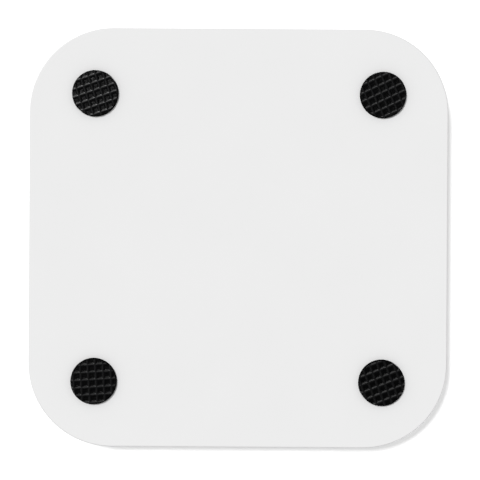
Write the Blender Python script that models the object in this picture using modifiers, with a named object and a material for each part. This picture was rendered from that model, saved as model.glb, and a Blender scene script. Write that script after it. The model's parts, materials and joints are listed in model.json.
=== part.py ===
# A square wireless charging pad. Two plastic covers hold a transmitter coil on its ferrite plate, a
# small circuit board with a USB-C inlet, and a steel ballast plate. Four stick-on rubber feet hide the
# screws, and a soft ring in the top face holds the phone.
#
# Units are metres. The origin is at the centre of the footprint, on the surface that the feet stand on.
# +Z points up to the phone, +Y to the rear, where the inlet is, and +X to the right.

import math

import bmesh
import bpy
from mathutils import Matrix, Vector

# Gaps between neighbouring pieces
LAYER_GAP = 0.0001  # between layers that lie on each other
FIT_GAP = 0.0001  # all round a piece that sits in a recess
LOOSE_GAP = 0.0003  # round a piece that has to pass an opening freely

# Case
SIDE = 0.0900  # width and depth of the covers
CASE_HEIGHT = 0.0080  # from the underside to the top face
CORNER_RADIUS = 0.0180
WALL = 0.0016
FLOOR = 0.0015
ROOF = 0.0012
BOTTOM_EDGE = 0.00035  # rounding round the underside
TOP_EDGE = 0.0014  # rounding round the top face
SPLIT_HEIGHT = 0.0038  # the bottom cover's wall, above the underside
REVEAL = 0.0003  # the open line between the covers
TONGUE_HEIGHT = 0.0012  # the bottom cover's inner lip, above its wall
TONGUE_THICKNESS = 0.0007
CORNER_STEPS = 16
EDGE_STEPS = 3

# Feet, each in a shallow pocket of the underside
FOOT_DIAMETER = 0.0098
FOOT_STAND = 0.0012  # how far a foot stands out of the underside
FOOT_POCKET = 0.0008  # depth of its pocket
FOOT_INSET = 0.0141  # from the case's side to the foot's centre
FOOT_EDGE = 0.0003
FOOT_TAPE = 0.00015
FOOT_STEPS = 36

# Case screws, under the feet
SCREW_SHANK = 0.0020
SCREW_HEAD = 0.0038
SCREW_HEAD_HEIGHT = 0.0012
SCREW_SEAT = 0.0011  # plastic that the head clamps
SCREW_TIP_ROOM = 0.0007  # from the screw's tip to the roof
SCREW_STEPS = 12
BOSS_WALL = 0.0018  # round the screw head's recess
TOP_BOSS = 0.0055
ROUND_STEPS = 24

# Grip ring in the top face
RING_RADIUS = 0.0265  # to the middle of its width
RING_WIDTH = 0.0030
RING_GROOVE = 0.0006
RING_STAND = 0.0004
RING_EDGE = 0.0003
RING_STEPS = 64

# USB-C receptacle
USB_WIDTH = 0.00894
USB_HEIGHT = 0.00316
USB_DEPTH = 0.0073
USB_SHEET = 0.0003  # thickness of the shell's metal
USB_CORNER = 0.0014
USB_RECESS = 0.0005  # from the case's rear face to the shell's mouth
TONGUE_WIDTH = 0.00669
TONGUE_PLATE = 0.0007
TONGUE_REACH = 0.0045
USB_BASE = 0.0020  # the moulded block behind the tongue

# Circuit board, at the rear
BOARD_DEPTH = 0.0159
BOARD_THICKNESS = 0.0010
BOARD_DROP = 0.0003  # the board's top face, below the inlet's middle
BOARD_WALL_GAP = 0.0005
BOARD_BOSS_GAP = 0.0010
BOARD_CORNER = 0.0010
POST_DIAMETER = 0.0042
BOARD_SCREW_SHANK = 0.0014
BOARD_SCREW_HEAD = 0.0030
BOARD_SCREW_HEAD_HEIGHT = 0.0009
BOARD_SCREW_PLACE = (0.0032, 0.0031)  # from the board's side edge and from its rear edge
PILOT_FLOOR = 0.0009  # plastic left under the board screws' holes

# Light pipe, over the LED
PIPE_DIAMETER = 0.0020
PIPE_FLANGE = 0.0032
PIPE_FLANGE_THICKNESS = 0.0005
LED_FROM_REAR = 0.0099  # from the board's rear edge

# Coil and its layers
LITZ = 0.0011  # diameter of the litz wire
COIL_INNER = 0.0205  # inner diameter of the winding
COIL_PITCH_GAP = 0.00005
COIL_TURNS = 9.5
COIL_POINTS = 20  # on each turn
COIL_START = math.radians(-30)  # where the inner lead joins the winding, which runs clockwise
COIL_TAPE = 0.0002
FERRITE_MARGIN = 0.0028  # how far the ferrite reaches past the winding
FERRITE_THICKNESS = 0.0010
FOAM_INSET = 0.0010  # the foam's edge, inside the ferrite's
RIB_THICKNESS = 0.0008
RIB_HEIGHT = 0.0015
SLOT_START = 0.0055  # distance of the ferrite slot's inner end from the middle
LEAD_LANDING = 0.0016  # how far the leads reach over the board
LEAD_RAMP = 0.0020  # the leads' climb or drop, just in front of the board
LEAD_OUT_X = -0.0040  # where the outer lead lands
THERMISTOR_LEAD = 0.0005
THERMISTOR_DIAMETER = 0.0010
THERMISTOR_LENGTH = 0.0020

# Ballast plate
BALLAST_THICKNESS = 0.0010
BALLAST_CORNER = 0.0030
BALLAST_BOSS_GAP = 0.0010

# Heights, all worked out from the surface that the feet stand on
UNDERSIDE = FOOT_STAND
FLOOR_TOP = UNDERSIDE + FLOOR
SPLIT = UNDERSIDE + SPLIT_HEIGHT
TOP_FACE = UNDERSIDE + CASE_HEIGHT
CEILING = TOP_FACE - ROOF
POCKET_TOP = UNDERSIDE + FOOT_POCKET
FOOT_TOP = POCKET_TOP - FOOT_TAPE - LAYER_GAP
HEAD_SEAT = POCKET_TOP + SCREW_HEAD_HEIGHT + 2 * LAYER_GAP
BOSS_TOP = HEAD_SEAT + SCREW_SEAT
SCREW_TIP = CEILING - SCREW_TIP_ROOM
INLET = UNDERSIDE + CASE_HEIGHT / 2
BOARD_TOP = INLET - BOARD_DROP
BOARD_BOTTOM = BOARD_TOP - BOARD_THICKNESS
COIL_TAPE_TOP = CEILING - LAYER_GAP
COIL_TOP = COIL_TAPE_TOP - COIL_TAPE - LAYER_GAP
COIL_MIDDLE = COIL_TOP - LITZ / 2
FERRITE_TOP = COIL_TOP - LITZ - LAYER_GAP
FERRITE_BOTTOM = FERRITE_TOP - FERRITE_THICKNESS
SLOT_LEAD = FERRITE_TOP - LITZ / 2  # middle of the inner lead, in the ferrite's slot
BALLAST_TOP = FLOOR_TOP + LAYER_GAP + BALLAST_THICKNESS
FOAM_TOP = min(FERRITE_BOTTOM, SLOT_LEAD - LITZ / 2) - LAYER_GAP

# Places in plan
HALF = SIDE / 2
FOOT_OFFSET = HALF - FOOT_INSET
BOSS_RADIUS = SCREW_HEAD / 2 + LAYER_GAP + BOSS_WALL
BOARD_REAR = HALF - WALL - BOARD_WALL_GAP
BOARD_FRONT = BOARD_REAR - BOARD_DEPTH
BOARD_HALF = FOOT_OFFSET - BOSS_RADIUS - BOARD_BOSS_GAP
USB_MOUTH = HALF - USB_RECESS
USB_REAR = USB_MOUTH - USB_DEPTH
LED_Y = BOARD_REAR - LED_FROM_REAR
LEAD_END = BOARD_FRONT + LEAD_LANDING
LEAD_IN_X = LITZ / 2 - FIT_GAP  # the inner lead's side of the slot
THERMISTOR_X = LEAD_IN_X - LITZ / 2 - 2 * FIT_GAP - THERMISTOR_LEAD / 2
COIL_PITCH = LITZ + COIL_PITCH_GAP
COIL_RADIUS = COIL_INNER / 2 + LITZ + COIL_PITCH * COIL_TURNS
FERRITE_RADIUS = COIL_RADIUS + FERRITE_MARGIN
CORNERS = {
    "front_left": (-1, -1),
    "front_right": (1, -1),
    "rear_left": (-1, 1),
    "rear_right": (1, 1),
}


def clear_scene():
    for obj in list(bpy.data.objects):
        bpy.data.objects.remove(obj, do_unlink=True)


def new_collection(name):
    collection = bpy.data.collections.new(name)
    bpy.context.scene.collection.children.link(collection)
    return collection


clear_scene()
PAD = new_collection("wireless_charging_pad")
CUTTERS = new_collection("cutters")


def material(name, colour, roughness, metallic=0.0):
    made = bpy.data.materials.new(name)
    made.use_nodes = True
    shader = made.node_tree.nodes["Principled BSDF"]
    shader.inputs["Base Color"].default_value = (*colour, 1.0)
    shader.inputs["Roughness"].default_value = roughness
    shader.inputs["Metallic"].default_value = metallic
    return made


WHITE_PLASTIC = material("white_plastic", (0.84, 0.84, 0.84), 0.45)
FOOT_RUBBER = material("foot_rubber", (0.012, 0.012, 0.013), 0.55)
SILICONE = material("grip_silicone", (0.60, 0.60, 0.61), 0.60)
TAPE = material("adhesive_tape", (0.75, 0.72, 0.62), 0.50)
STEEL = material("screw_steel", (0.55, 0.55, 0.56), 0.30, 1.0)
PLATED = material("plated_shell", (0.72, 0.72, 0.74), 0.22, 1.0)
BLACK_PLASTIC = material("black_plastic", (0.020, 0.020, 0.022), 0.40)
BOARD_GREEN = material("board_laminate", (0.015, 0.110, 0.045), 0.35)
CERAMIC = material("capacitor_ceramic", (0.42, 0.30, 0.19), 0.45)
FERRITE_GREY = material("ferrite", (0.060, 0.060, 0.065), 0.60)
COPPER = material("litz_copper", (0.72, 0.34, 0.18), 0.35, 1.0)
FOAM_GREY = material("foam", (0.10, 0.10, 0.11), 0.90)
CLEAR = material("light_pipe_clear", (0.85, 0.90, 0.92), 0.10)
LED_YELLOW = material("led_body", (0.85, 0.80, 0.55), 0.35)


def make_object(name, mesh, finish, collection=PAD):
    obj = bpy.data.objects.new(name, mesh)
    collection.objects.link(obj)
    if finish and not mesh.materials:
        mesh.materials.append(finish)
    if collection == CUTTERS:
        obj.hide_render = True
        obj.display_type = "WIRE"
    return obj


def mesh_from(shape, name):
    """Turns a bmesh into a mesh that is shaded smooth, with sharp edges over 35 degrees."""
    bmesh.ops.recalc_face_normals(shape, faces=shape.faces)
    mesh = bpy.data.meshes.new(name)
    shape.to_mesh(mesh)
    shape.free()
    mesh.shade_smooth()
    mesh.set_sharp_from_angle(angle=math.radians(35))
    return mesh


def round_rim(shape, height, radius, steps):
    """Rounds the edges that lie flat at this height."""
    rim = [e for e in shape.edges if all(abs(v.co.z - height) < 1e-7 for v in e.verts)]
    bmesh.ops.bevel(shape, geom=rim, offset=radius, segments=steps, profile=0.5, affect="EDGES")


def block_mesh(name, width, depth, low, high, corner=0.0, low_edge=0.0, high_edge=0.0, steps=4):
    """A box that is centred in plan, with rounded upright edges and, where asked, rounded rims."""
    shape = bmesh.new()
    bmesh.ops.create_cube(shape, size=1.0)
    for vert in shape.verts:
        vert.co.x *= width
        vert.co.y *= depth
        vert.co.z = high if vert.co.z > 0 else low
    if corner:
        upright = [e for e in shape.edges if abs(e.verts[0].co.z - e.verts[1].co.z) > 1e-7]
        bmesh.ops.bevel(
            shape, geom=upright, offset=corner, segments=steps, profile=0.5, affect="EDGES"
        )
    if low_edge:
        round_rim(shape, low, low_edge, EDGE_STEPS)
    if high_edge:
        round_rim(shape, high, high_edge, EDGE_STEPS)
    return mesh_from(shape, name)


def disc_mesh(name, diameter, low, high, steps=ROUND_STEPS, edge=0.0):
    shape = bmesh.new()
    bmesh.ops.create_cone(
        shape,
        cap_ends=True,
        segments=steps,
        radius1=diameter / 2,
        radius2=diameter / 2,
        depth=high - low,
        matrix=Matrix.Translation((0, 0, (low + high) / 2)),
    )
    if edge:
        round_rim(shape, low, edge, 2)
        round_rim(shape, high, edge, 2)
    return mesh_from(shape, name)


def case_mesh(name, inset, low, high, low_edge=0.0, high_edge=0.0):
    """A slab with the case's outline, moved in by the inset."""
    side = SIDE - 2 * inset
    return block_mesh(
        name, side, side, low, high, CORNER_RADIUS - inset, low_edge, high_edge, CORNER_STEPS
    )


def turned(name, profile, finish=None, collection=PAD, steps=ROUND_STEPS, closed=False):
    """Turns a profile of (radius, height) points, listed down its outer side, about the Z axis."""
    mesh = bpy.data.meshes.new(name)
    edges = [(i, i + 1) for i in range(len(profile) - 1)]
    if closed:
        edges.append((len(profile) - 1, 0))
    mesh.from_pydata([(radius, 0, height) for radius, height in profile], edges, [])
    obj = make_object(name, mesh, finish, collection)
    screw = obj.modifiers.new("turn", "SCREW")
    screw.axis = "Z"
    screw.angle = math.tau
    screw.steps = steps
    screw.render_steps = steps
    screw.use_smooth_shade = True
    screw.use_merge_vertices = True
    screw.merge_threshold = 0.00001
    return obj


def baked(obj):
    """Replaces the object's modifiers, or its curve, with the mesh that they make."""
    bpy.context.view_layer.update()
    graph = bpy.context.evaluated_depsgraph_get()
    mesh = bpy.data.meshes.new_from_object(obj.evaluated_get(graph))
    shape = bmesh.new()
    shape.from_mesh(mesh)
    bmesh.ops.remove_doubles(shape, verts=shape.verts, dist=0.000001)
    finish = obj.data.materials[0] if obj.data.materials else None
    name = obj.name
    place = obj.matrix_world.copy()
    collection = obj.users_collection[0]
    bpy.data.objects.remove(obj, do_unlink=True)
    made = make_object(name, mesh_from(shape, name), finish, collection)
    made.matrix_world = place
    return made


def combine(target, tool, operation):
    """Adds the tool, an object or a whole collection, to the target as a Boolean."""
    boolean = target.modifiers.new(operation.lower(), "BOOLEAN")
    boolean.operation = operation
    boolean.solver = "EXACT"
    if isinstance(tool, bpy.types.Collection):
        boolean.operand_type = "COLLECTION"
        boolean.collection = tool
    else:
        boolean.object = tool


def tool_group(name, tools):
    """A collection of cutters that one Boolean uses together."""
    group = bpy.data.collections.new(name)
    CUTTERS.children.link(group)
    for tool in tools:
        CUTTERS.objects.unlink(tool)
        group.objects.link(tool)
    return group


def tool(name, mesh, place=(0, 0, 0)):
    obj = make_object(name, mesh, None, CUTTERS)
    obj.location = place
    return obj


def lying(mesh, height):
    """Lays an upright prism down along +Y, with its middle at this height."""
    mesh.transform(Matrix.Translation((0, 0, height)) @ Matrix.Rotation(math.radians(-90), 4, "X"))
    return mesh


def inlet_mesh(name, margin, start, end):
    """The receptacle's rounded outline, grown by the margin, along Y from start to end."""
    prism = block_mesh(
        name,
        USB_WIDTH + 2 * margin,
        USB_HEIGHT + 2 * margin,
        start,
        end,
        USB_CORNER + margin,
        steps=5,
    )
    return lying(prism, INLET)


def board_screw_places():
    x = BOARD_HALF - BOARD_SCREW_PLACE[0]
    y = BOARD_REAR - BOARD_SCREW_PLACE[1]
    return {"left": (-x, y), "right": (x, y)}


def foot_well(sx, sy):
    """The stepped hole for a foot, its screw's head and the screw's shank."""
    pocket = FOOT_DIAMETER / 2 + FIT_GAP
    recess = SCREW_HEAD / 2 + LAYER_GAP
    hole = SCREW_SHANK / 2 + FIT_GAP
    below = UNDERSIDE - FLOOR
    well = turned(
        "foot_well",
        [
            (0, BOSS_TOP + FLOOR),
            (hole, BOSS_TOP + FLOOR),
            (hole, HEAD_SEAT),
            (recess, HEAD_SEAT),
            (recess, POCKET_TOP),
            (pocket, POCKET_TOP),
            (pocket, below),
            (0, below),
        ],
        collection=CUTTERS,
        steps=FOOT_STEPS,
    )
    well.location = (sx * FOOT_OFFSET, sy * FOOT_OFFSET, 0)
    return well


def bottom_cover():
    cover = make_object(
        "bottom_cover",
        case_mesh("bottom_cover", 0, UNDERSIDE, SPLIT, low_edge=BOTTOM_EDGE),
        WHITE_PLASTIC,
    )
    tongue = case_mesh("tongue", WALL - TONGUE_THICKNESS, FLOOR_TOP, SPLIT + TONGUE_HEIGHT)
    combine(cover, tool("tongue", tongue), "UNION")
    combine(cover, tool("tray", case_mesh("tray", WALL, FLOOR_TOP, CEILING)), "DIFFERENCE")

    root = UNDERSIDE + FLOOR / 2
    boss = disc_mesh("boss", 2 * BOSS_RADIUS, root, BOSS_TOP)
    post = disc_mesh("post", POST_DIAMETER, root, BOARD_BOTTOM - LAYER_GAP)
    added = [
        tool("boss", boss, (sx * FOOT_OFFSET, sy * FOOT_OFFSET, 0)) for sx, sy in CORNERS.values()
    ]
    added += [tool("post", post, (x, y, 0)) for x, y in board_screw_places().values()]
    combine(cover, tool_group("bottom_cover_bosses", added), "UNION")

    pilot = disc_mesh(
        "board_pilot",
        BOARD_SCREW_SHANK + 2 * FIT_GAP,
        UNDERSIDE + PILOT_FLOOR,
        BOARD_TOP,
        SCREW_STEPS,
    )
    cuts = [foot_well(sx, sy) for sx, sy in CORNERS.values()]
    cuts += [tool("board_pilot", pilot, (x, y, 0)) for x, y in board_screw_places().values()]
    cuts.append(tool("inlet_cut", inlet_mesh("inlet_cut", LOOSE_GAP, USB_REAR, HALF + WALL)))
    combine(cover, tool_group("bottom_cover_cuts", cuts), "DIFFERENCE")
    baked(cover)


def coil_rib():
    """A ring under the roof that centres the ferrite, open where the outer lead leaves."""
    inner = FERRITE_RADIUS + LOOSE_GAP
    outer = inner + RIB_THICKNESS
    top = CEILING + ROOF / 4
    bottom = CEILING - RIB_HEIGHT
    profile = [(outer, top), (outer, bottom), (inner, bottom), (inner, top)]
    rib = baked(turned("coil_rib", profile, collection=CUTTERS, steps=RING_STEPS, closed=True))
    gate = block_mesh("rib_gate", FERRITE_RADIUS, outer, bottom - RIB_HEIGHT, TOP_FACE)
    combine(rib, tool("rib_gate", gate, (LEAD_OUT_X * 2, outer, 0)), "DIFFERENCE")
    return rib


def top_cover():
    cover = make_object(
        "top_cover",
        case_mesh("top_cover", 0, SPLIT + REVEAL, TOP_FACE, high_edge=TOP_EDGE),
        WHITE_PLASTIC,
    )
    combine(cover, tool("hollow", case_mesh("hollow", WALL, 0, CEILING)), "DIFFERENCE")
    rebate = case_mesh(
        "rebate", WALL - TONGUE_THICKNESS - FIT_GAP, 0, SPLIT + TONGUE_HEIGHT + LAYER_GAP
    )
    combine(cover, tool("rebate", rebate), "DIFFERENCE")

    boss = disc_mesh("top_boss", TOP_BOSS, BOSS_TOP + LAYER_GAP, CEILING + ROOF / 4)
    added = [
        tool("top_boss", boss, (sx * FOOT_OFFSET, sy * FOOT_OFFSET, 0))
        for sx, sy in CORNERS.values()
    ]
    added.append(coil_rib())
    combine(cover, tool_group("top_cover_bosses", added), "UNION")

    groove_inner = RING_RADIUS - RING_WIDTH / 2
    groove_outer = RING_RADIUS + RING_WIDTH / 2
    groove_top = TOP_FACE + ROOF
    groove_floor = TOP_FACE - RING_GROOVE
    groove = [
        (groove_outer, groove_top),
        (groove_outer, groove_floor),
        (groove_inner, groove_floor),
        (groove_inner, groove_top),
    ]
    pilot_diameter = SCREW_SHANK + 2 * FIT_GAP
    pilot_top = SCREW_TIP + 2 * LAYER_GAP
    pilot = disc_mesh("pilot", pilot_diameter, UNDERSIDE, pilot_top, SCREW_STEPS)
    pipe_hole = disc_mesh("pipe_hole", PIPE_DIAMETER + 2 * FIT_GAP, INLET, TOP_FACE + ROOF)
    cuts = [
        tool("pilot", pilot, (sx * FOOT_OFFSET, sy * FOOT_OFFSET, 0)) for sx, sy in CORNERS.values()
    ]
    cuts.append(turned("groove", groove, collection=CUTTERS, steps=RING_STEPS, closed=True))
    cuts.append(tool("pipe_hole", pipe_hole, (0, LED_Y, 0)))
    cuts.append(tool("inlet_cut", inlet_mesh("inlet_cut", LOOSE_GAP, USB_REAR, HALF + WALL)))
    combine(cover, tool_group("top_cover_cuts", cuts), "DIFFERENCE")
    baked(cover)


def grip_ring():
    """The ring's section has two rounded upper edges."""
    inner = RING_RADIUS - RING_WIDTH / 2 + FIT_GAP
    outer = RING_RADIUS + RING_WIDTH / 2 - FIT_GAP
    low = TOP_FACE - RING_GROOVE + LAYER_GAP
    high = TOP_FACE + RING_STAND
    bend = [math.radians(90 * i / EDGE_STEPS) for i in range(EDGE_STEPS + 1)]
    shoulder = high - RING_EDGE
    outside = [
        (outer - RING_EDGE + RING_EDGE * math.sin(a), shoulder + RING_EDGE * math.cos(a))
        for a in bend
    ]
    inside = [
        (inner + RING_EDGE - RING_EDGE * math.cos(a), shoulder + RING_EDGE * math.sin(a))
        for a in bend
    ]
    profile = outside + [(outer, low), (inner, low)] + inside
    turned("grip_ring", profile, SILICONE, steps=RING_STEPS, closed=True)


def screw_mesh(name, shank, head, head_height, length):
    """A pan-head screw: its head stands on z = 0 and the shank hangs below it. The drive is a cross."""
    drive = head_height / 2
    rounding = head_height / 3
    screw = turned(
        name,
        [
            (0, head_height),
            (head / 2 - rounding, head_height),
            (head / 2, head_height - rounding),
            (head / 2, 0),
            (shank / 2, 0),
            (shank / 2, -length + shank / 4),
            (shank / 4, -length),
            (0, -length),
        ],
        STEEL,
        CUTTERS,
        SCREW_STEPS,
    )
    arm = (head * 0.6, head * 0.16)
    cross = [
        tool(f"{name}_drive", block_mesh("drive", a, b, head_height - drive, 2 * head_height))
        for a, b in (arm, arm[::-1])
    ]
    combine(screw, tool_group(f"{name}_cross", cross), "DIFFERENCE")
    screw = baked(screw)
    mesh = screw.data
    bpy.data.objects.remove(screw)
    return mesh


def corner_pieces():
    """A foot, its adhesive disc and its screw at each corner."""
    foot = disc_mesh("foot", FOOT_DIAMETER, 0, FOOT_TOP, FOOT_STEPS, FOOT_EDGE)
    tape_bottom = FOOT_TOP + LAYER_GAP / 2
    tape = disc_mesh(
        "foot_tape", FOOT_DIAMETER - FOOT_EDGE, tape_bottom, tape_bottom + FOOT_TAPE, ROUND_STEPS
    )
    bearing = HEAD_SEAT - LAYER_GAP
    screw = screw_mesh(
        "case_screw", SCREW_SHANK, SCREW_HEAD, SCREW_HEAD_HEIGHT, SCREW_TIP - bearing
    )
    screw.transform(Matrix.Rotation(math.pi, 4, "X"))
    for corner, (sx, sy) in CORNERS.items():
        place = Vector((sx * FOOT_OFFSET, sy * FOOT_OFFSET, 0))
        make_object(f"foot_{corner}", foot, FOOT_RUBBER).location = place
        make_object(f"foot_tape_{corner}", tape, TAPE).location = place
        make_object(f"case_screw_{corner}", screw, STEEL).location = place + Vector((0, 0, bearing))


def circuit_board():
    middle = (BOARD_REAR + BOARD_FRONT) / 2
    board = make_object(
        "circuit_board",
        block_mesh(
            "circuit_board", 2 * BOARD_HALF, BOARD_DEPTH, BOARD_BOTTOM, BOARD_TOP, BOARD_CORNER
        ),
        BOARD_GREEN,
    )
    board.location.y = middle
    notch_depth = 2 * (BOARD_REAR - USB_REAR + FIT_GAP)
    notch = block_mesh(
        "board_notch", USB_WIDTH + 2 * FIT_GAP, notch_depth, 0, TOP_FACE, steps=1
    )
    hole = disc_mesh("board_hole", BOARD_SCREW_SHANK + 4 * FIT_GAP, 0, TOP_FACE, SCREW_STEPS)
    cuts = [tool("board_notch", notch, (0, BOARD_REAR, 0))]
    cuts += [tool("board_hole", hole, (x, y, 0)) for x, y in board_screw_places().values()]
    combine(board, tool_group("board_cuts", cuts), "DIFFERENCE")
    baked(board)

    bearing = BOARD_TOP + LAYER_GAP
    tip = UNDERSIDE + PILOT_FLOOR + 2 * LAYER_GAP
    screw = screw_mesh(
        "board_screw", BOARD_SCREW_SHANK, BOARD_SCREW_HEAD, BOARD_SCREW_HEAD_HEIGHT, bearing - tip
    )
    for side, (x, y) in board_screw_places().items():
        make_object(f"board_screw_{side}", screw, STEEL).location = (x, y, bearing)


def usb_inlet():
    shell = make_object(
        "usb_c_shell", inlet_mesh("usb_c_shell", 0, USB_REAR, USB_MOUTH), PLATED
    )
    bore = inlet_mesh("usb_bore", -USB_SHEET, USB_REAR - USB_SHEET, USB_MOUTH + USB_SHEET)
    combine(shell, tool("usb_bore", bore), "DIFFERENCE")
    baked(shell)

    base_front = USB_REAR + FIT_GAP
    tongue = make_object(
        "usb_c_tongue",
        inlet_mesh("usb_c_tongue", -USB_SHEET - FIT_GAP, base_front, base_front + USB_BASE),
        BLACK_PLASTIC,
    )
    reach = base_front + USB_BASE + TONGUE_REACH
    plate = block_mesh(
        "tongue_plate",
        TONGUE_WIDTH,
        TONGUE_PLATE,
        base_front + USB_BASE / 2,
        reach,
        TONGUE_PLATE / 4,
        steps=1,
    )
    combine(tongue, tool("tongue_plate", lying(plate, INLET)), "UNION")
    baked(tongue)


# Boxed components on the board: name, finish, size, and place as x and distance from the rear edge
COMPONENTS = (
    ("controller_chip", BLACK_PLASTIC, (0.0050, 0.0050, 0.00085), (-0.0110, 0.0079)),
    ("crystal", PLATED, (0.0032, 0.0025, 0.0007), (-0.0175, 0.0079)),
    ("bridge_transistor_left", BLACK_PLASTIC, (0.0033, 0.0033, 0.0008), (0.0070, 0.0119)),
    ("bridge_transistor_right", BLACK_PLASTIC, (0.0033, 0.0033, 0.0008), (0.0120, 0.0119)),
    ("input_capacitor_left", CERAMIC, (0.00125, 0.0020, 0.00125), (-0.0068, 0.0044)),
    ("input_capacitor_right", CERAMIC, (0.00125, 0.0020, 0.00125), (0.0068, 0.0044)),
    ("power_inductor", FERRITE_GREY, (0.0040, 0.0040, 0.0019), (0.0112, 0.0054)),
    ("status_led", LED_YELLOW, (0.0016, 0.0012, 0.0006), (0.0, LED_FROM_REAR)),
)
RESONANT_CAPACITORS = 4
RESONANT_SIZE = (0.0032, 0.0016, 0.0016)
RESONANT_X = 0.0178
RESONANT_FROM_REAR = 0.0054  # the rearmost one's middle
RESONANT_PITCH = 0.0022


def component(name, finish, size, place):
    width, depth, height = size
    low = BOARD_TOP + LAYER_GAP
    chamfer = min(size) / 8
    mesh = block_mesh(name, width, depth, low, low + height, chamfer, steps=1)
    made = make_object(name, mesh, finish)
    made.location = (place[0], BOARD_REAR - place[1], 0)


def board_components():
    for name, finish, size, place in COMPONENTS:
        component(name, finish, size, place)
    for i in range(RESONANT_CAPACITORS):
        place = (RESONANT_X, RESONANT_FROM_REAR + i * RESONANT_PITCH)
        component(f"resonant_capacitor_{i + 1}", CERAMIC, RESONANT_SIZE, place)


def light_pipe():
    led_height = dict((name, size[2]) for name, _, size, _ in COMPONENTS)["status_led"]
    foot = BOARD_TOP + 2 * LAYER_GAP + led_height
    flange_top = CEILING - LAYER_GAP
    flange_bottom = flange_top - PIPE_FLANGE_THICKNESS
    stem = PIPE_DIAMETER / 2
    pipe = turned(
        "light_pipe",
        [
            (0, TOP_FACE),
            (stem, TOP_FACE),
            (stem, flange_top),
            (PIPE_FLANGE / 2, flange_top),
            (PIPE_FLANGE / 2, flange_bottom),
            (stem, flange_bottom),
            (stem, foot),
            (0, foot),
        ],
        CLEAR,
    )
    pipe.location.y = LED_Y


def blend(start, end, share):
    """A smooth step from start to end while the share goes from 0 to 1."""
    share = min(max(share, 0.0), 1.0)
    return start + (end - start) * share * share * (3 - 2 * share)


def hermite(start, start_way, end, end_way, share):
    """A point in plan on the smooth curve that leaves and arrives in the given directions."""
    a = 2 * share**3 - 3 * share**2 + 1
    b = share**3 - 2 * share**2 + share
    c = -2 * share**3 + 3 * share**2
    d = share**3 - share**2
    return start * a + start_way * b + end * c + end_way * d


def coil_points():
    """The wire's middle line: in along the ferrite's slot, round the winding, and out to the board."""
    first = COIL_INNER / 2 + LITZ / 2
    landing = BOARD_TOP + LAYER_GAP + LITZ / 2
    down = Vector((0, -1))
    up = Vector((0, 1))

    def on_winding(angle):
        radius = first + COIL_PITCH * (COIL_START - angle) / math.tau
        return Vector((radius * math.cos(angle), radius * math.sin(angle)))

    def clockwise(angle):
        return Vector((math.sin(angle), -math.cos(angle)))

    points = []
    rise_start = first - LITZ
    rise_end = SLOT_START + LITZ
    ramp = BOARD_FRONT - LEAD_RAMP
    for y in (LEAD_END, BOARD_FRONT, BOARD_FRONT - LEAD_RAMP / 2, ramp, (ramp + rise_start) / 2):
        points.append((LEAD_IN_X, y, blend(SLOT_LEAD, landing, (y - ramp) / LEAD_RAMP)))
    steps = 5
    for i in range(steps + 1):
        y = rise_start + (rise_end - rise_start) * i / steps
        points.append((LEAD_IN_X, y, blend(SLOT_LEAD, COIL_MIDDLE, i / steps)))
    start = Vector((LEAD_IN_X, rise_end))
    end = on_winding(COIL_START)
    steps = 10
    for i in range(1, steps):
        spot = hermite(start, down * first, end, clockwise(COIL_START) * first, i / steps)
        points.append((spot.x, spot.y, COIL_MIDDLE))

    count = round(COIL_TURNS * COIL_POINTS)
    for i in range(count + 1):
        spot = on_winding(COIL_START - math.tau * i / COIL_POINTS)
        points.append((spot.x, spot.y, COIL_MIDDLE))

    last = COIL_START - math.tau * COIL_TURNS
    start = on_winding(last)
    end = Vector((LEAD_OUT_X, LEAD_END))
    reach = (end - start).length
    edge = FERRITE_RADIUS + LITZ / 2
    steps = 12
    for i in range(1, steps + 1):
        spot = hermite(start, clockwise(last) * reach, end, up * reach / 2, i / steps)
        share = (spot.length - edge) / (end.length - edge)
        points.append((spot.x, spot.y, blend(COIL_MIDDLE, landing, share)))
    return points


def wire(name, points, diameter, finish, resolution=2):
    curve = bpy.data.curves.new(name, "CURVE")
    curve.dimensions = "3D"
    curve.bevel_depth = diameter / 2
    curve.bevel_resolution = resolution
    curve.use_fill_caps = True
    spline = curve.splines.new("POLY")
    spline.points.add(len(points) - 1)
    for point, place in zip(spline.points, points):
        point.co = (*place, 1)
    curve.materials.append(finish)
    obj = bpy.data.objects.new(name, curve)
    PAD.objects.link(obj)
    return baked(obj)


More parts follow.
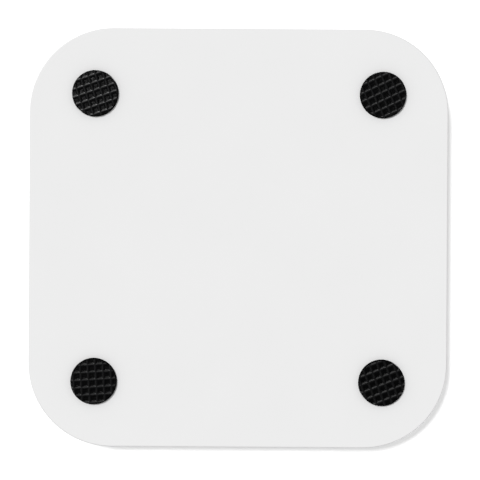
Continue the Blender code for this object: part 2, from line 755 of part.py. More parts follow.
def coil_layers():
    wire("charging_coil", coil_points(), LITZ, COPPER)

    tape_inner = COIL_INNER / 2
    tape_low = COIL_TAPE_TOP - COIL_TAPE
    ring = [
        (COIL_RADIUS, COIL_TAPE_TOP),
        (COIL_RADIUS, tape_low),
        (tape_inner, tape_low),
        (tape_inner, COIL_TAPE_TOP),
    ]
    turned("coil_tape", ring, TAPE, closed=True)

    ferrite = make_object(
        "ferrite_plate",
        disc_mesh("ferrite_plate", 2 * FERRITE_RADIUS, FERRITE_BOTTOM, FERRITE_TOP, RING_STEPS),
        FERRITE_GREY,
    )
    slot_left = THERMISTOR_X - THERMISTOR_LEAD / 2 - 2 * FIT_GAP
    slot_right = LEAD_IN_X + LITZ / 2 + 2 * FIT_GAP
    slot = block_mesh(
        "ferrite_slot", slot_right - slot_left, FERRITE_RADIUS, 0, TOP_FACE, steps=1
    )
    slot_middle = ((slot_left + slot_right) / 2, SLOT_START + FERRITE_RADIUS / 2, 0)
    combine(ferrite, tool("ferrite_slot", slot, slot_middle), "DIFFERENCE")
    baked(ferrite)

    foam_low = BALLAST_TOP + LAYER_GAP
    foam_diameter = 2 * (FERRITE_RADIUS - FOAM_INSET)
    foam = disc_mesh("foam_pad", foam_diameter, foam_low, FOAM_TOP, RING_STEPS)
    make_object("foam_pad", foam, FOAM_GREY)

    ballast_side = 2 * (FOOT_OFFSET - BOSS_RADIUS - BALLAST_BOSS_GAP)
    ballast = block_mesh(
        "ballast_plate",
        ballast_side,
        ballast_side,
        FLOOR_TOP + LAYER_GAP,
        BALLAST_TOP,
        BALLAST_CORNER,
    )
    make_object("ballast_plate", ballast, STEEL)


def thermistor():
    """A glass bead on the ferrite, in the winding's eye, with one twin lead down through the slot."""
    bead_height = FERRITE_TOP + LAYER_GAP + THERMISTOR_DIAMETER / 2
    bead_end = SLOT_START - THERMISTOR_LENGTH
    radius = THERMISTOR_DIAMETER / 2
    straight = THERMISTOR_LENGTH / 2 - radius
    quarter = [math.radians(22.5 * i) for i in range(5)]
    upper = [(radius * math.sin(a), straight + radius * math.cos(a)) for a in quarter]
    lower = [(r, -z) for r, z in reversed(upper)]
    bead = turned("thermistor", upper + lower, BLACK_PLASTIC, steps=SCREW_STEPS)
    bead.rotation_euler.x = math.radians(90)
    bead.location = (THERMISTOR_X, bead_end - THERMISTOR_LENGTH / 2, bead_height)

    landing = BOARD_TOP + LAYER_GAP + THERMISTOR_LEAD / 2
    route = [
        (bead_end + LAYER_GAP, bead_height),
        (SLOT_START + THERMISTOR_LEAD, bead_height),
        (SLOT_START + 3 * THERMISTOR_LEAD, (bead_height + SLOT_LEAD) / 2),
        (SLOT_START + 5 * THERMISTOR_LEAD, SLOT_LEAD),
        (BOARD_FRONT - LEAD_RAMP, SLOT_LEAD),
        (BOARD_FRONT, landing + THERMISTOR_LEAD / 2),
        (LEAD_END, landing),
    ]
    points = [(THERMISTOR_X, y, z) for y, z in route]
    wire("thermistor_lead", points, THERMISTOR_LEAD, BLACK_PLASTIC, 1)


bottom_cover()
top_cover()
grip_ring()
corner_pieces()
circuit_board()
usb_inlet()
board_components()
light_pipe()
coil_layers()
thermistor()
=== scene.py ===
import json
import math

import bmesh
import bpy
from mathutils import Matrix, Vector


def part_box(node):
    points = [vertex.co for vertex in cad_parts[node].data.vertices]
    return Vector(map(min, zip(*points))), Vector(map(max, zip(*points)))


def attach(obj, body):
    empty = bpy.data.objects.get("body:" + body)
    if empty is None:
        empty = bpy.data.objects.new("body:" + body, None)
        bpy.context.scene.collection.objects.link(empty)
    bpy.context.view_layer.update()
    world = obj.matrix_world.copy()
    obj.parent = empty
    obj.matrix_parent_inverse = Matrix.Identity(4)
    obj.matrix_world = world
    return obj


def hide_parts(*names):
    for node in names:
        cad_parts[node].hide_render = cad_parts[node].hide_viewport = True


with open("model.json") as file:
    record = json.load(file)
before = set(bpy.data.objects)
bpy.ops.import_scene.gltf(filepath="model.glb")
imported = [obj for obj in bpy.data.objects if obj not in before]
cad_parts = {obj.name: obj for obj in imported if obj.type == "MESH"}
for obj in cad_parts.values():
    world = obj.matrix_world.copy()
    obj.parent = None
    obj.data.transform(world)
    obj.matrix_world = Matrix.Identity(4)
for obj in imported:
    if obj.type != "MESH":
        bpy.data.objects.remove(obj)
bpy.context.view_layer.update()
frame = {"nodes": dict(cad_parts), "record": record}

record = frame["record"]
mm = 0.001

# The pad lies with its feet on z = 0, its inlet faces +Y and its charging face +Z
lowerLow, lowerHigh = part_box("bottom_cover")
upperLow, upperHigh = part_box("top_cover")
footLow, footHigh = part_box("foot_rear_right")
ringLow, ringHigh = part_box("grip_ring")
shellLow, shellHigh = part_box("usb_c_shell")
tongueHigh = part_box("usb_c_tongue")[1]
boardLow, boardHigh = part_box("circuit_board")
footCentre = (footLow + footHigh) / 2
half = lowerHigh.x
underside = lowerLow.z
topFace = upperHigh.z
inletHeight = (shellLow.z + shellHigh.z) / 2

cornerSides = {
    "rear_right": (1, 1),
    "rear_left": (-1, 1),
    "front_right": (1, -1),
    "front_left": (-1, -1),
}

caseShape = {
    "cornerRadius": 18 * mm,
    "cornerSteps": 40,
    "wall": 1.6 * mm,
    "floor": 1.5 * mm,
    "roof": 1.2 * mm,
    "undersideEdge": 0.35 * mm,
    "topEdge": 1.4 * mm,
    "edgeSteps": 8,
    "reveal": 0.3 * mm,
    "lipChamfer": 0.12 * mm,
    "tongueInset": 0.9 * mm,
    "fit": 0.1 * mm,
}
inletShape = {
    "cornerRadius": 1.4 * mm,
    "sheet": 0.3 * mm,
    "edge": 0.1 * mm,
    "bend": 0.03 * mm,
    "wallGap": 0.3 * mm,
    "chamfer": 0.25 * mm,
}


def roundedOutline(halfX, halfY, radius, steps):
    points = []
    for quarter, (sx, sy) in enumerate(((1, 1), (-1, 1), (-1, -1), (1, -1))):
        for i in range(steps + 1):
            angle = math.radians(90 * (quarter + i / steps))
            points.append(
                (
                    sx * (halfX - radius) + radius * math.cos(angle),
                    sy * (halfY - radius) + radius * math.sin(angle),
                )
            )
    return points


def circleOutline(radius, steps):
    return [
        (radius * math.cos(math.tau * i / steps), radius * math.sin(math.tau * i / steps))
        for i in range(steps)
    ]


def meshFromLoops(name, loops, ring=False):
    # joins equal loops of points into one closed solid, capped, or closed on itself as a ring
    shape = bmesh.new()
    rows = [[shape.verts.new(point) for point in loop] for loop in loops]
    pairs = list(zip(rows, rows[1:]))
    if ring:
        pairs.append((rows[-1], rows[0]))
    for lower, upper in pairs:
        for i in range(len(lower)):
            j = (i + 1) % len(lower)
            shape.faces.new((lower[i], lower[j], upper[j], upper[i]))
    if not ring:
        shape.faces.new(rows[0])
        shape.faces.new(rows[-1])
    bmesh.ops.remove_doubles(shape, verts=shape.verts, dist=1e-8)
    bmesh.ops.recalc_face_normals(shape, faces=shape.faces)
    mesh = bpy.data.meshes.new(name)
    shape.to_mesh(mesh)
    shape.free()
    return mesh


def addObject(name, data):
    obj = bpy.data.objects.new(name, data)
    bpy.context.scene.collection.objects.link(obj)
    return obj


def upright(outline, height, centre=(0, 0)):
    return [(x + centre[0], y + centre[1], height) for x, y in outline]


def rearward(outline, y, height):
    return [(-x, y, height + z) for x, z in outline]


def caseStack(name, sections):
    # sections are (height, inset from the case's outline)
    shape = caseShape
    loops = []
    for height, inset in sections:
        outline = roundedOutline(
            half - inset, half - inset, shape["cornerRadius"] - inset, shape["cornerSteps"]
        )
        loops.append(upright(outline, height))
    return addObject(name, meshFromLoops(name, loops))


def roundStack(name, sections, centre=(0, 0), steps=96):
    # sections are (height, radius)
    loops = [upright(circleOutline(radius, steps), height, centre) for height, radius in sections]
    return addObject(name, meshFromLoops(name, loops))


def turnedRing(name, profile, steps=160):
    # a closed profile of (radius, height) points, turned about Z
    loops = []
    for i in range(steps):
        angle = math.tau * i / steps
        loops.append([(r * math.cos(angle), r * math.sin(angle), z) for r, z in profile])
    return addObject(name, meshFromLoops(name, loops, ring=True))


def slotStack(name, sections, steps=10, ring=False):
    # the inlet's rounded outline at (y, margin) sections
    halfX = (shellHigh.x - shellLow.x) / 2
    halfZ = (shellHigh.z - shellLow.z) / 2
    loops = []
    for y, margin in sections:
        radius = min(inletShape["cornerRadius"], halfZ - 0.01 * mm) + margin
        outline = roundedOutline(halfX + margin, halfZ + margin, radius, steps)
        loops.append(rearward(outline, y, inletHeight))
    return addObject(name, meshFromLoops(name, loops, ring))


def bakeModifiers(obj):
    bpy.context.view_layer.update()
    graph = bpy.context.evaluated_depsgraph_get()
    mesh = bpy.data.meshes.new_from_object(obj.evaluated_get(graph), depsgraph=graph)
    obj.modifiers.clear()
    obj.data = mesh
    return obj


def combine(obj, tools, operation):
    for tool in tools:
        boolean = obj.modifiers.new("combine", "BOOLEAN")
        boolean.operation = operation
        boolean.solver = "EXACT"
        boolean.object = tool
        bakeModifiers(obj)
        bpy.data.objects.remove(tool, do_unlink=True)
    return obj


def smoothPiece(obj, sharpAngle=35):
    # smooth shading that keeps the large faces flat beside their rounded edges
    obj.data.shade_smooth()
    obj.data.set_sharp_from_angle(angle=math.radians(sharpAngle))
    weighted = obj.modifiers.new("weighted", "WEIGHTED_NORMAL")
    weighted.mode = "FACE_AREA"
    weighted.weight = 100
    weighted.keep_sharp = True
    return bakeModifiers(obj)


def finishPiece(obj, material, replaced=()):
    obj.data.materials.clear()
    obj.data.materials.append(material)
    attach(obj, "root")
    if replaced:
        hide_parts(*replaced)
    return obj


def feed(tree, socket, value):
    # gives an input another node's result, or a plain value
    if isinstance(value, bpy.types.NodeSocket):
        tree.links.new(value, socket)
    else:
        socket.default_value = value


def addNode(tree, kind, **settings):
    # settings are the node's own properties, or what its inputs are fed
    node = tree.nodes.new(kind)
    for key, value in settings.items():
        if key in node.inputs:
            feed(tree, node.inputs[key], value)
        else:
            setattr(node, key, value)
    return node


def noiseAt(tree, place, scale, detail):
    noise = addNode(tree, "ShaderNodeTexNoise", Vector=place, Scale=scale, Detail=detail)
    return noise.outputs["Fac"]


def mapped(tree, value, fromSpan=(0.0, 1.0), toSpan=(0.0, 1.0)):
    # moves a value from one span to another
    node = addNode(tree, "ShaderNodeMapRange", Value=value)
    limits = ("From Min", "From Max", "To Min", "To Max")
    for socketName, limit in zip(limits, (*fromSpan, *toSpan)):
        feed(tree, node.inputs[socketName], limit)
    return node.outputs["Result"]


def vectorOf(tree, **parts):
    return addNode(tree, "ShaderNodeCombineXYZ", **parts).outputs["Vector"]


def moved(tree, geometry, **changes):
    return addNode(tree, "GeometryNodeTransform", Geometry=geometry, **changes).outputs["Geometry"]


def mathsIn(tree):
    # a short way to write a tree's maths, with numbers or other nodes' results as values
    def maths(operation, *values, **settings):
        node = addNode(tree, "ShaderNodeMath", operation=operation, **settings)
        for socket, value in zip(node.inputs, values):
            feed(tree, socket, value)
        return node.outputs["Value"]

    return maths


def pieceTree(name, floats=(), integers=(), vectors=()):
    # a tree that takes a mesh, a material and inputs by these names
    tree = bpy.data.node_groups.new(name, "GeometryNodeTree")
    newSocket = tree.interface.new_socket
    newSocket("Geometry", in_out="INPUT", socket_type="NodeSocketGeometry")
    kinds = {"Float": floats, "Int": integers, "Vector": vectors, "Material": ["Material"]}
    for kind, socketNames in kinds.items():
        for socketName in socketNames:
            newSocket(socketName, in_out="INPUT", socket_type=f"NodeSocket{kind}")
    newSocket("Geometry", in_out="OUTPUT", socket_type="NodeSocketGeometry")
    return tree, addNode(tree, "NodeGroupInput").outputs


def endTree(tree, geometry, material):
    # what leaves the tree is real mesh with its material on it
    realised = addNode(tree, "GeometryNodeRealizeInstances", Geometry=geometry)
    painted = addNode(
        tree,
        "GeometryNodeSetMaterial",
        Geometry=realised.outputs["Geometry"],
        Material=material,
    )
    addNode(tree, "NodeGroupOutput", Geometry=painted.outputs["Geometry"])
    return tree


def applyTree(obj, tree, values):
    modifier = obj.modifiers.new("nodes", "NODES")
    modifier.node_group = tree
    for item in tree.interface.items_tree:
        if item.item_type == "SOCKET" and item.in_out == "INPUT" and item.name in values:
            modifier[item.identifier] = values[item.name]
    return bakeModifiers(obj)


def addGrain(tree, place, look, detail):
    # a fine grain in the surface
    bump = addNode(
        tree,
        "ShaderNodeBump",
        Strength=look["grainStrength"],
        Distance=look["grainDepth"],
        Height=noiseAt(tree, place, look["grainScale"], detail),
    )
    tree.links.new(bump.outputs["Normal"], tree.nodes["Principled BSDF"].inputs["Normal"])


def newMaterial(name):
    material = bpy.data.materials.new(name)
    material.use_nodes = True
    return material, material.node_tree


def grainedMaterial(name, look):
    # colour that drifts between two tones, uneven roughness and a fine surface grain
    material, tree = newMaterial(name)
    sockets = tree.nodes["Principled BSDF"].inputs
    sockets["Metallic"].default_value = look.get("metallic", 0.0)
    sockets["IOR"].default_value = look.get("ior", 1.5)
    sockets["Specular IOR Level"].default_value = look.get("specular", 0.5)
    sockets["Coat Weight"].default_value = look.get("coat", 0.0)
    sockets["Transmission Weight"].default_value = look.get("transmission", 0.0)
    coordinates = addNode(tree, "ShaderNodeTexCoord").outputs["Object"]
    mapping = addNode(tree, "ShaderNodeMapping", Vector=coordinates)
    mapping.inputs["Scale"].default_value = look.get("stretch", (1, 1, 1))
    place = mapping.outputs["Vector"]
    patches = noiseAt(tree, place, look["patchScale"], 4)
    tones = addNode(tree, "ShaderNodeValToRGB", Fac=patches)
    for element, position, tone in zip(tones.color_ramp.elements, (0.3, 0.7), ("dark", "light")):
        element.position = position
        element.color = (*look[tone], 1)
    feed(tree, sockets["Base Color"], tones.outputs["Color"])
    feed(tree, sockets["Roughness"], mapped(tree, patches, toSpan=look["roughness"]))
    addGrain(tree, place, look, detail=3)
    if "overlay" in look:
        look["overlay"](tree, look)
    return material


def overTones(tree, share, colour):
    # lays one colour over the base colour where the share is high
    baseColour = tree.nodes["Principled BSDF"].inputs["Base Color"]
    over = addNode(tree, "ShaderNodeMix", data_type="RGBA")
    below, above = [socket for socket in over.inputs if socket.type == "RGBA"]
    result = [socket for socket in over.outputs if socket.type == "RGBA"][0]
    feed(tree, over.inputs["Factor"], share)
    feed(tree, below, baseColour.links[0].from_socket)
    feed(tree, above, (*colour, 1))
    feed(tree, baseColour, result)


def addTracks(tree, look):
    # copper tracks that show lighter through the solder mask
    tracks = addNode(
        tree,
        "ShaderNodeTexBrick",
        offset=0.37,
        squash=0.6,
        squash_frequency=3,
        Vector=tree.nodes["Texture Coordinate"].outputs["Object"],
        Scale=look["trackScale"],
        Color1=(0, 0, 0, 1),
        Color2=(0, 0, 0, 1),
        Mortar=(1, 1, 1, 1),
    )
    tracks.inputs["Mortar Size"].default_value = look["trackWidth"]
    overTones(tree, tracks.outputs["Color"], look["trackColour"])


def addCells(tree, look):
    # open cells in foam, or grains in a sintered ceramic
    place = tree.nodes["Texture Coordinate"].outputs["Object"]
    cells = addNode(tree, "ShaderNodeTexVoronoi", Vector=place, Scale=look["cellScale"])
    distance = cells.outputs["Distance"]
    feed(tree, tree.nodes["Bump"].inputs["Height"], distance)
    overTones(tree, mapped(tree, distance, (0.0, look["cellEdge"])), look["cellColour"])


def addStrands(tree, look):
    # fine enamelled wires that twist round each other along the winding
    place = addNode(
        tree,
        "ShaderNodeSeparateXYZ",
        Vector=tree.nodes["Texture Coordinate"].outputs["Object"],
    )
    maths = mathsIn(tree)
    x, y, z = (place.outputs[axis] for axis in "XYZ")
    radius = maths("SQRT", maths("ADD", maths("MULTIPLY", x, x), maths("MULTIPLY", y, y)))
    turn = maths("MULTIPLY", maths("ARCTAN2", y, x), look["strandsPerTurn"])
    across = maths("MULTIPLY", maths("ADD", radius, z), math.tau / look["strandWidth"])
    share = mapped(tree, maths("SINE", maths("ADD", turn, across)), (-1.0, 1.0))
    feed(tree, tree.nodes["Bump"].inputs["Height"], share)
    overTones(tree, share, look["strandColour"])


looks = {
    "casePlastic": {
        "dark": (0.790, 0.790, 0.790),
        "light": (0.798, 0.798, 0.798),
        "specular": 0.35,
        "patchScale": 60,
        "roughness": (0.56, 0.62),
        "grainScale": 5200,
        "grainStrength": 0.25,
        "grainDepth": 0.02 * mm,
    },
    "footSide": {
        "dark": (0.004, 0.004, 0.004),
        "light": (0.009, 0.009, 0.009),
        "specular": 0.0,
        "patchScale": 400,
        "roughness": (0.80, 0.95),
        "grainScale": 7000,
        "grainStrength": 0.3,
        "grainDepth": 0.03 * mm,
    },
    "gripSilicone": {
        "dark": (0.50, 0.50, 0.51),
        "light": (0.56, 0.56, 0.57),
        "patchScale": 300,
        "roughness": (0.58, 0.70),
        "grainScale": 7000,
        "grainStrength": 0.35,
        "grainDepth": 0.03 * mm,
    },
    "adhesiveTape": {
        "dark": (0.66, 0.62, 0.50),
        "light": (0.78, 0.75, 0.64),
        "patchScale": 500,
        "roughness": (0.50, 0.75),
        "grainScale": 4000,
        "grainStrength": 0.4,
        "grainDepth": 0.02 * mm,
    },
    "platedSteel": {
        "dark": (0.58, 0.58, 0.60),
        "light": (0.74, 0.74, 0.76),
        "metallic": 1.0,
        "patchScale": 700,
        "stretch": (1, 0.1, 1),
        "roughness": (0.18, 0.34),
        "grainScale": 9000,
        "grainStrength": 0.15,
        "grainDepth": 0.01 * mm,
    },
    "rolledSteel": {
        "dark": (0.42, 0.42, 0.43),
        "light": (0.58, 0.58, 0.59),
        "metallic": 1.0,
        "patchScale": 260,
        "stretch": (1, 0.04, 1),
        "roughness": (0.34, 0.52),
        "grainScale": 3000,
        "grainStrength": 0.25,
        "grainDepth": 0.02 * mm,
    },
    "contactGold": {
        "dark": (0.80, 0.55, 0.20),
        "light": (0.95, 0.70, 0.30),
        "metallic": 1.0,
        "patchScale": 2000,
        "roughness": (0.15, 0.30),
        "grainScale": 12000,
        "grainStrength": 0.1,
        "grainDepth": 0.01 * mm,
    },
    "blackPlastic": {
        "dark": (0.012, 0.012, 0.013),
        "light": (0.028, 0.028, 0.030),
        "patchScale": 500,
        "roughness": (0.32, 0.48),
        "grainScale": 8000,
        "grainStrength": 0.3,
        "grainDepth": 0.02 * mm,
    },
    "boardMask": {
        "dark": (0.006, 0.060, 0.024),
        "light": (0.010, 0.085, 0.034),
        "coat": 0.5,
        "patchScale": 150,
        "roughness": (0.28, 0.40),
        "grainScale": 5000,
        "grainStrength": 0.2,
        "grainDepth": 0.02 * mm,
        "overlay": addTracks,
        "trackScale": 420,
        "trackWidth": 0.035,
        "trackColour": (0.025, 0.170, 0.065),
    },
    "capacitorCeramic": {
        "dark": (0.30, 0.20, 0.12),
        "light": (0.46, 0.33, 0.21),
        "patchScale": 1500,
        "roughness": (0.30, 0.45),
        "grainScale": 9000,
        "grainStrength": 0.2,
        "grainDepth": 0.01 * mm,
    },
    "ferriteGrey": {
        "dark": (0.035, 0.035, 0.038),
        "light": (0.075, 0.075, 0.080),
        "patchScale": 400,
        "roughness": (0.55, 0.80),
        "grainScale": 6000,
        "grainStrength": 0.5,
        "grainDepth": 0.02 * mm,
        "overlay": addCells,
        "cellScale": 4500,
        "cellEdge": 0.9,
        "cellColour": (0.095, 0.095, 0.100),
    },
    "litzCopper": {
        "dark": (0.50, 0.20, 0.08),
        "light": (0.66, 0.30, 0.14),
        "metallic": 1.0,
        "patchScale": 500,
        "roughness": (0.30, 0.45),
        "grainScale": 9000,
        "grainStrength": 0.6,
        "grainDepth": 0.08 * mm,
        "overlay": addStrands,
        "strandsPerTurn": 96,
        "strandWidth": 0.55 * mm,
        "strandColour": (0.86, 0.48, 0.26),
    },
    "foamGrey": {
        "dark": (0.075, 0.075, 0.080),
        "light": (0.115, 0.115, 0.120),
        "patchScale": 350,
        "roughness": (0.88, 1.0),
        "grainScale": 6000,
        "grainStrength": 0.9,
        "grainDepth": 0.15 * mm,
        "overlay": addCells,
        "cellScale": 2200,
        "cellEdge": 0.6,
        "cellColour": (0.15, 0.15, 0.155),
    },
    "pipeAcrylic": {
        "dark": (0.78, 0.84, 0.86),
        "light": (0.86, 0.90, 0.92),
        "transmission": 0.6,
        "ior": 1.49,
        "patchScale": 400,
        "roughness": (0.12, 0.22),
        "grainScale": 6000,
        "grainStrength": 0.1,
        "grainDepth": 0.01 * mm,
    },
    "ledBody": {
        "dark": (0.80, 0.70, 0.30),
        "light": (0.92, 0.86, 0.52),
        "patchScale": 1800,
        "roughness": (0.25, 0.40),
        "grainScale": 9000,
        "grainStrength": 0.15,
        "grainDepth": 0.01 * mm,
    },
}
materials = {name: grainedMaterial(name, look) for name, look in looks.items()}


rubberLook = {
    "top": (0.0045, 0.0045, 0.0048),
    # the pits' near-black tone is partly the rubber's own colour and partly painted shade
    "floor": (0.0003, 0.0003, 0.0004),
    "specular": 0.03,
    "roughness": (0.44, 0.28),
    "wornDepth": 0.12 * mm,
    "cleanAndShadedDepth": 0.24 * mm,
    "mottleScale": 1100,
    "mottle": 0.5,
    "grainScale": 9000,
    "grainStrength": 0.3,
    "grainDepth": 0.02 * mm,
}


def footRubber():
    # the ribs' tops are rubbed dull and a little grey, and the pits stay glossy and are painted near
    # black as shade in the recesses
    look = rubberLook
    material, tree = newMaterial("footRubber")
    sockets = tree.nodes["Principled BSDF"].inputs
    sockets["Specular IOR Level"].default_value = look["specular"]
    place = addNode(tree, "ShaderNodeTexCoord").outputs["Object"]
    height = addNode(tree, "ShaderNodeSeparateXYZ", Vector=place).outputs["Z"]
    depth = mapped(tree, height, (look["wornDepth"], look["cleanAndShadedDepth"]))
    maths = mathsIn(tree)
    blotches = noiseAt(tree, place, look["mottleScale"], 4)
    patchy = maths("MULTIPLY_ADD", blotches, look["mottle"], -look["mottle"] / 2)
    share = maths("ADD", depth, patchy, use_clamp=True)
    # darker with depth: rubbed grey at the rib tops, painted shade towards the pit floors
    tones = addNode(tree, "ShaderNodeValToRGB", Fac=share)
    for element, tone in zip(tones.color_ramp.elements, ("top", "floor")):
        element.color = (*look[tone], 1)
    feed(tree, sockets["Base Color"], tones.outputs["Color"])
    feed(tree, sockets["Roughness"], mapped(tree, share, toSpan=look["roughness"]))
    addGrain(tree, place, look, detail=2)
    return material


materials["footRubber"] = footRubber()


def fillet(start, radius, outward, steps):
    # (height, inset) sections round an edge: outward 1 goes up from a flat underside, -1 down from a top
    sections = []
    for i in range(steps + 1):
        angle = math.radians(90 * i / steps)
        sections.append(
            (start + outward * radius * (1 - math.cos(angle)), radius * (1 - math.sin(angle)))
        )
    return sections


ringShape = {"edge": 0.3 * mm, "edgeSteps": 6, "width": 2.8 * mm, "grooveChamfer": 0.08 * mm}
bossShape = {
    "lowerRadius": 3.8 * mm,
    "lowerTop": 4.5 * mm,
    "headRecess": 2.0 * mm,
    "headSeat": 3.4 * mm,
    "screwHole": 1.1 * mm,
    "upperRadius": 2.75 * mm,
    "upperPilotTop": 7.5 * mm,
    "postRadius": 2.1 * mm,
    "postPilot": 0.8 * mm,
    "postPilotFloor": 0.9 * mm,
    "fillet": 0.35 * mm,
}
ribShape = {
    "gap": 0.3 * mm,
    "thickness": 0.8 * mm,
    "height": 1.5 * mm,
    "gateX": -8.0 * mm,
    "gateCorner": 0.5 * mm,
}
pipeHole = {"radius": 1.1 * mm, "chamfer": 0.15 * mm, "chamferDepth": 0.05 * mm}


def cornerPlaces():
    return [(sx * footCentre.x, sy * footCentre.y) for sx, sy in cornerSides.values()]


def postPlaces():
    places = []
    for side in ("left", "right"):
        low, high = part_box(f"board_screw_{side}")
        places.append(((low.x + high.x) / 2, (low.y + high.y) / 2))
    return places


def filletedBoss(name, radius, root, face, tip, centre):
    # a round boss that spreads a little where it leaves its face
    spread = bossShape["fillet"]
    way = 1 if tip > face else -1
    sections = [(root, radius + spread), (face, radius + spread)]
    for i in range(1, 5):
        angle = math.radians(90 * i / 4)
        inset = spread * (1 - math.sin(angle))
        sections.append((face + way * spread * (1 - math.cos(angle)), radius + inset))
    sections.append((tip, radius))
    return roundStack(name, sections, centre, 64)


def lowerCover():
    shape, boss = caseShape, bossShape
    split = upperLow.z - shape["reveal"]
    chamfer = shape["lipChamfer"]
    sections = fillet(underside, shape["undersideEdge"], 1, shape["edgeSteps"])
    sections += [(split - chamfer, 0), (split, chamfer)]
    cover = caseStack("lowerCover", sections)
    floorTop = underside + shape["floor"]
    lip = caseStack(
        "lip",
        [
            (floorTop, shape["tongueInset"]),
            (lowerHigh.z - chamfer, shape["tongueInset"]),
            (lowerHigh.z, shape["tongueInset"] + chamfer),
        ],
    )
    combine(cover, [lip], "UNION")
    tray = caseStack("tray", [(floorTop, shape["wall"]), (topFace, shape["wall"])])
    combine(cover, [tray], "DIFFERENCE")

    root = underside + shape["floor"] / 2
    bosses = [
        filletedBoss("boss", boss["lowerRadius"], root, floorTop, boss["lowerTop"], place)
        for place in cornerPlaces()
    ]
    postTop = boardLow.z - shape["fit"]
    bosses += [
        filletedBoss("post", boss["postRadius"], root, floorTop, postTop, place)
        for place in postPlaces()
    ]
    combine(cover, bosses, "UNION")
    cuts = footWells()
    for place in postPlaces():
        pilot = [(underside + boss["postPilotFloor"], boss["postPilot"]), (topFace, boss["postPilot"])]
        cuts.append(roundStack("pilot", pilot, place, 48))
    cuts.append(inletCutter())
    combine(cover, cuts, "DIFFERENCE")
    return smoothPiece(cover)


def footWells():
    # a pocket for the foot, then the screw's recess and its hole
    boss = bossShape
    pocket = (footHigh.x - footLow.x) / 2 + caseShape["fit"]
    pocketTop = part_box("foot_tape_rear_right")[1].z + caseShape["fit"] / 2
    recess, hole = boss["headRecess"], boss["screwHole"]
    sections = [(0, pocket), (pocketTop, pocket), (pocketTop, recess)]
    sections += [(boss["headSeat"], recess), (boss["headSeat"], hole), (topFace, hole)]
    return [roundStack("well", sections, place) for place in cornerPlaces()]


def inletCutter():
    margin, chamfer = inletShape["wallGap"], inletShape["chamfer"]
    sections = [(shellLow.y, margin), (half - chamfer, margin)]
    sections.append((half + chamfer, margin + 2 * chamfer))
    return slotStack("inletCutter", sections)


def coilRib(ceiling):
    # centres the ferrite plate, and opens where the outer lead leaves
    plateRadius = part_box("ferrite_plate")[1].x
    inner = plateRadius + ribShape["gap"]
    outer = inner + ribShape["thickness"]
    top = ceiling + caseShape["roof"] / 4
    bottom = ceiling - ribShape["height"]
    rib = turnedRing("coilRib", [(inner, bottom), (outer, bottom), (outer, top), (inner, top)])
    gate = roundedOutline(plateRadius / 2, plateRadius / 2, ribShape["gateCorner"], 4)
    centre = (ribShape["gateX"], outer)
    loops = [upright(gate, height, centre) for height in (bottom - 1 * mm, topFace)]
    return combine(rib, [addObject("gate", meshFromLoops("gate", loops))], "DIFFERENCE")


def upperCover():
    shape, boss = caseShape, bossShape
    chamfer = shape["lipChamfer"]
    sections = [(upperLow.z, chamfer), (upperLow.z + chamfer, 0)]
    sections += reversed(fillet(topFace, shape["topEdge"], -1, shape["edgeSteps"]))
    cover = caseStack("upperCover", sections)
    ceiling = topFace - shape["roof"]
    hollow = caseStack("hollow", [(0, shape["wall"]), (ceiling, shape["wall"])])
    skirt = shape["tongueInset"] - shape["fit"]
    rebate = caseStack("rebate", [(0, skirt), (lowerHigh.z + shape["fit"], skirt)])
    combine(cover, [hollow, rebate], "DIFFERENCE")

    root = ceiling + shape["roof"] / 4
    low = boss["lowerTop"] + shape["fit"]
    bosses = [
        filletedBoss("boss", boss["upperRadius"], root, ceiling, low, place)
        for place in cornerPlaces()
    ]
    combine(cover, [*bosses, coilRib(ceiling)], "UNION")

    cuts = [grooveCutter(), inletCutter()]
    for place in cornerPlaces():
        pilot = [(0, boss["screwHole"]), (boss["upperPilotTop"], boss["screwHole"])]
        cuts.append(roundStack("pilot", pilot, place, 48))
    pipeLow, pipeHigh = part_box("light_pipe")
    wide = pipeHole["radius"] + pipeHole["chamfer"]
    hole = [(inletHeight, pipeHole["radius"]), (topFace - pipeHole["chamferDepth"], pipeHole["radius"])]
    hole.append((topFace + 2 * pipeHole["chamferDepth"], wide))
    cuts.append(roundStack("hole", hole, (0, (pipeLow.y + pipeHigh.y) / 2), 64))
    combine(cover, cuts, "DIFFERENCE")
    return smoothPiece(cover)


def grooveCutter():
    # the grip ring's groove, with a fine chamfer at both of its rims
    fit = caseShape["fit"]
    outer = ringHigh.x + fit
    inner = outer - ringShape["width"] - 2 * fit
    low = ringLow.z - fit
    rim = ringShape["grooveChamfer"]
    over = 2 * rim
    return turnedRing(
        "groove",
        [
            (inner, low),
            (outer, low),
            (outer, topFace - rim),
            (outer + over, topFace + rim),
            (inner - over, topFace + rim),
            (inner, topFace - rim),
        ],
    )


print("covers")
finishPiece(lowerCover(), materials["casePlastic"], ["bottom_cover"])
finishPiece(upperCover(), materials["casePlastic"], ["top_cover"])


def gripRing():
    outer = ringHigh.x
    inner = outer - ringShape["width"]
    edge = ringShape["edge"]
    arc = [math.radians(90 * i / ringShape["edgeSteps"]) for i in range(ringShape["edgeSteps"] + 1)]
    shoulder = ringHigh.z - edge
    profile = [(inner, ringLow.z), (outer, ringLow.z)]
    profile += [(outer - edge + edge * math.cos(a), shoulder + edge * math.sin(a)) for a in arc]
    profile += [(inner + edge - edge * math.sin(a), shoulder + edge * math.cos(a)) for a in arc]
    return smoothPiece(turnedRing("gripRing", profile))


print("grip ring")
finishPiece(gripRing(), materials["gripSilicone"], ["grip_ring"])

# die-cut from a rubber sheet that is moulded with a square grid of ribs
footShape = {
    "edge": 0.25 * mm,
    "edgeSteps": 6,
    "pitch": 1.61 * mm,
    "ribTop": 0.16 * mm,
    "wallRun": 0.30 * mm,
    "pitDepth": 0.28 * mm,
    "sideFrom": 0.34 * mm,
    "sideBand": 0.12 * mm,
    "unevenness": 0.25,
    "unevenScale": 900,
    "cells": 8,
    "stepsPerCell": 20,
    "weld": 0.002 * mm,
    "sharpAngle": 42,
}
